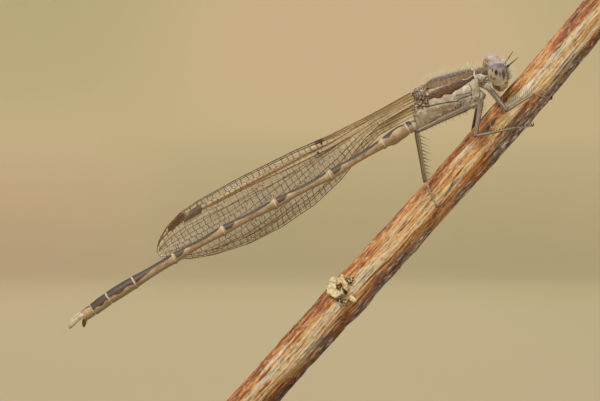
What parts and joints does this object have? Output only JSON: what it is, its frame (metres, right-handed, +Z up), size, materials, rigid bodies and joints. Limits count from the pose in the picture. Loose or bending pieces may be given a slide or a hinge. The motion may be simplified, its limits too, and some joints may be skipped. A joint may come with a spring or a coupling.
{
  "type": "damselfly on a stem",
  "caption": "Still life-size damselfly gripping a slanting dry stem, wings shut along its slender abdomen, held by a short rod on a flat base.",
  "frame": {"origin": "middle of the underside of the stand's base, which is also the bottom centre of the whole part's box", "axes": "+Z up; +X along the base towards the insect's head and the stem's upper end; -Y towards the viewer, who sees the insect's right side"},
  "size_m": [0.0412, 0.022, 0.0358],
  "materials": {
    "abdomen": "satin ochre cuticle with blackish olive back marks and cream joint rings",
    "thorax": "satin cuticle, bronze back over chestnut and cream side bands, fine hairs",
    "head": "satin cuticle, bronze crown, cream face, fine hairs",
    "eye": "glossy, violet blue above and beige grey with brown spots below",
    "antenna": "black brown with an olive bristle",
    "clasper": "satin, whitish with dark tips",
    "leg": "satin, grey beige with dark stripes along it and olive bristles",
    "wing": "thin clear beige membrane with brown veins and brown cells near the tips",
    "stem": "dry, streaked orange brown and cream with dark fissures",
    "base": "dark, oiled, fine grained",
    "rod": "satin"
  },
  "bodies": {
    "root": {"abdomen_s1": "abdomen", "abdomen_s10": "abdomen", "abdomen_s2": "abdomen", "abdomen_s3": "abdomen", "abdomen_s4": "abdomen", "abdomen_s5": "abdomen", "abdomen_s6": "abdomen", "abdomen_s7": "abdomen", "abdomen_s8": "abdomen", "abdomen_s9": "abdomen", "antenna_left": "antenna", "antenna_right": "antenna", "cercus_left": "clasper", "cercus_right": "clasper", "eye_left": "eye", "eye_right": "eye", "femur_front_left": "leg", "femur_front_right": "leg", "femur_hind_left": "leg", "femur_hind_right": "leg", "femur_mid_left": "leg", "femur_mid_right": "leg", "forewing_left": "wing", "forewing_right": "wing", "head": "head", "hindwing_left": "wing", "hindwing_right": "wing", "labrum": "head", "paraproct": "clasper", "perch_stem": "stem", "prothorax": "thorax", "stand_base": "base", "stand_rod": "rod", "tarsus_front_left": "leg", "tarsus_front_right": "leg", "tarsus_hind_left": "leg", "tarsus_hind_right": "leg", "tarsus_mid_left": "leg", "tarsus_mid_right": "leg", "thorax": "thorax", "tibia_front_left": "leg", "tibia_front_right": "leg", "tibia_hind_left": "leg", "tibia_hind_right": "leg", "tibia_mid_left": "leg", "tibia_mid_right": "leg"}
  },
  "joints": []
}
